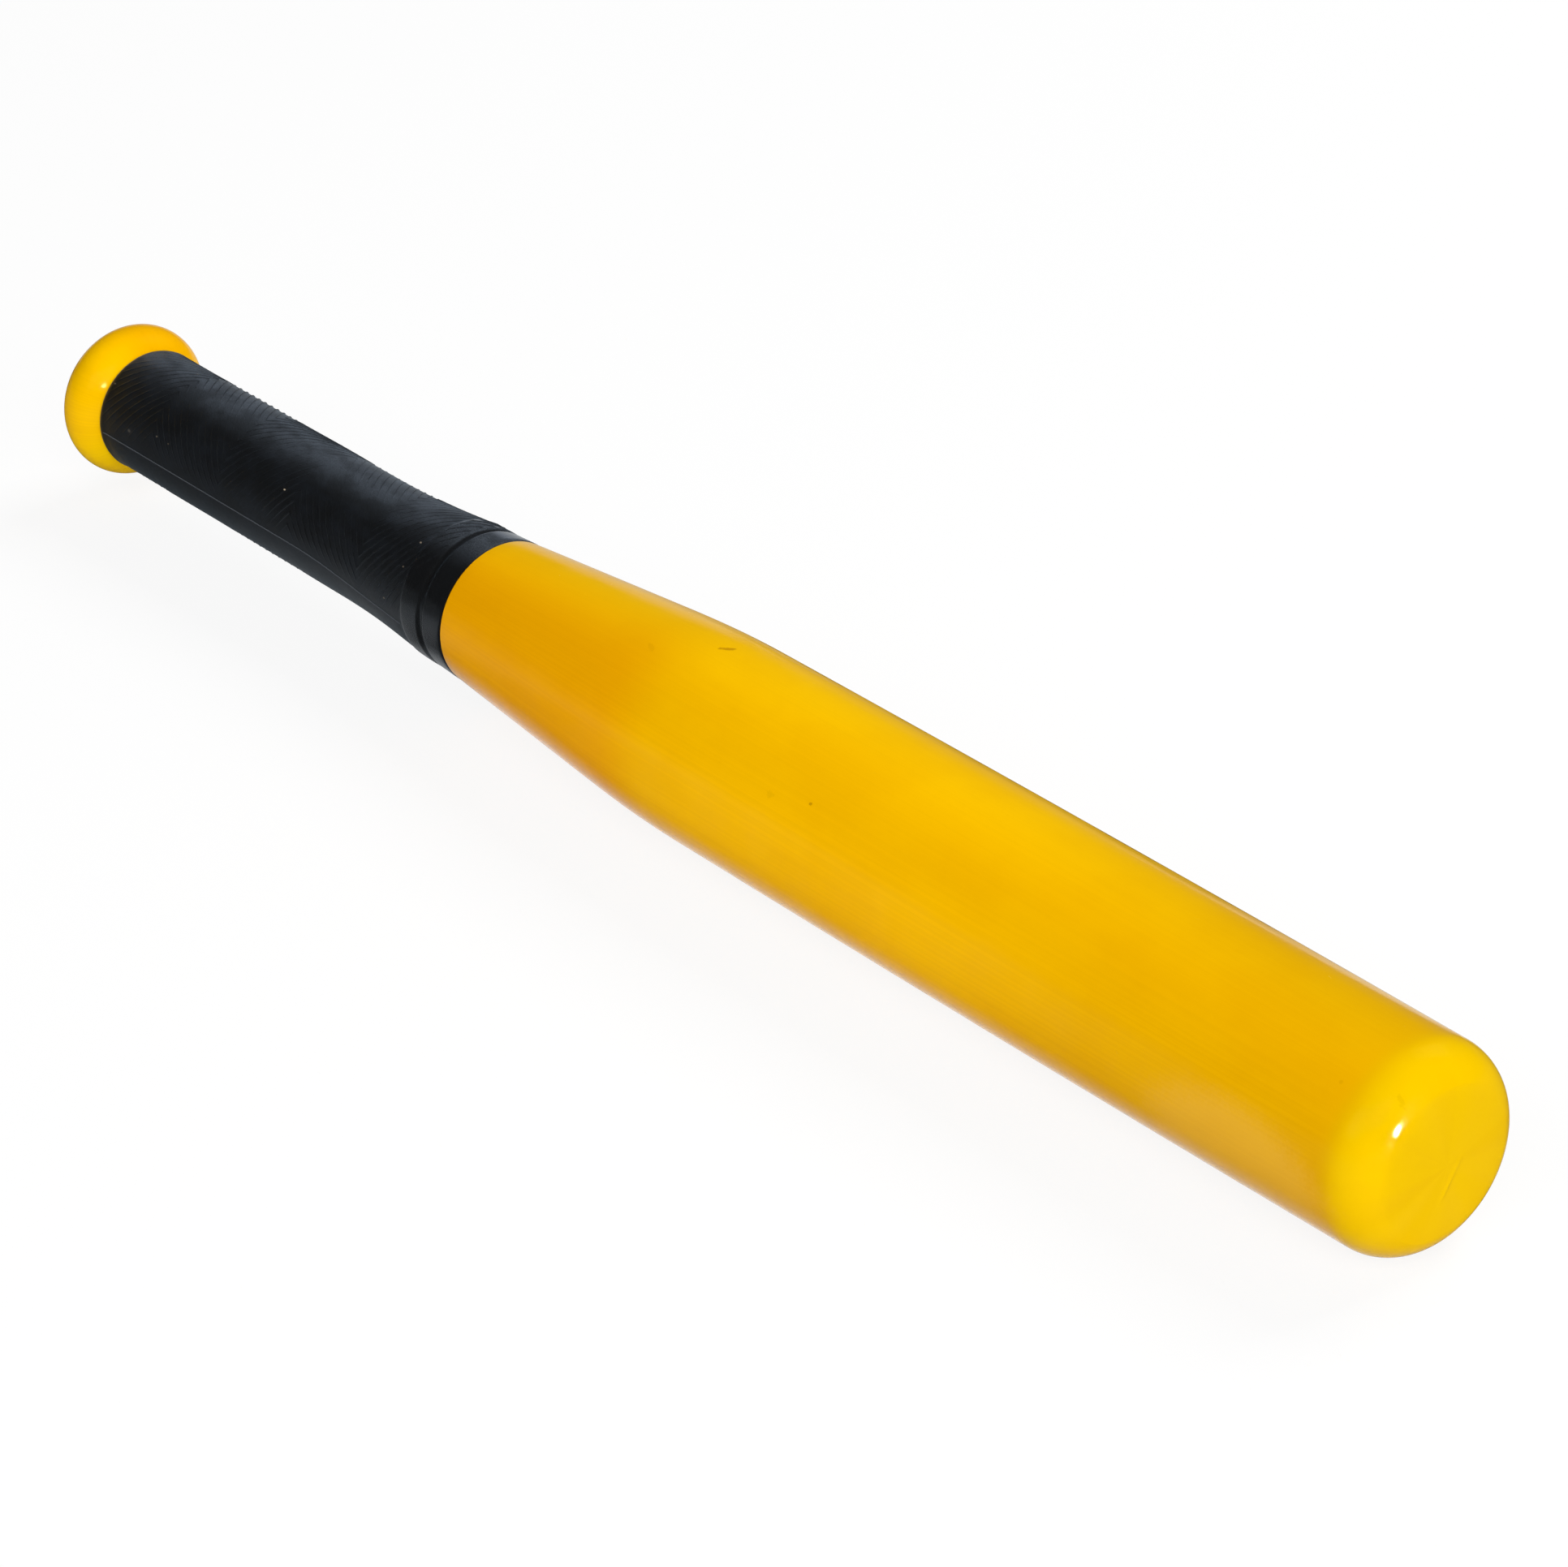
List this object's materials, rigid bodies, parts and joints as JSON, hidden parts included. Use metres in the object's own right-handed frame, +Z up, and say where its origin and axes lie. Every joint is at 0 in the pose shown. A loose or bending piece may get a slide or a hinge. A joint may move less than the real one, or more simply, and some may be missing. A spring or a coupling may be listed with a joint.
{
  "type": "rounders bat",
  "caption": "Rounders bat: hollow moulded yellow shell, parallel barrel with a rounded end, cone, slim handle and round knob, with a ribbed black rubber grip sleeve.",
  "frame": {"origin": "on the surface that the bat lies on, under the middle of its length and width", "axes": "+X along the bat's axis from knob to barrel end, +Z up"},
  "size_m": [0.46, 0.048, 0.048],
  "materials": {
    "body_plastic": "gloss, fine lengthwise moulding lines",
    "grip_rubber": "matte, fine zigzag ribs",
    "plug_plastic": "semi-gloss"
  },
  "bodies": {
    "root": {"bat_body": "body_plastic", "grip_sleeve": "grip_rubber", "butt_plug": "plug_plastic"}
  },
  "joints": []
}
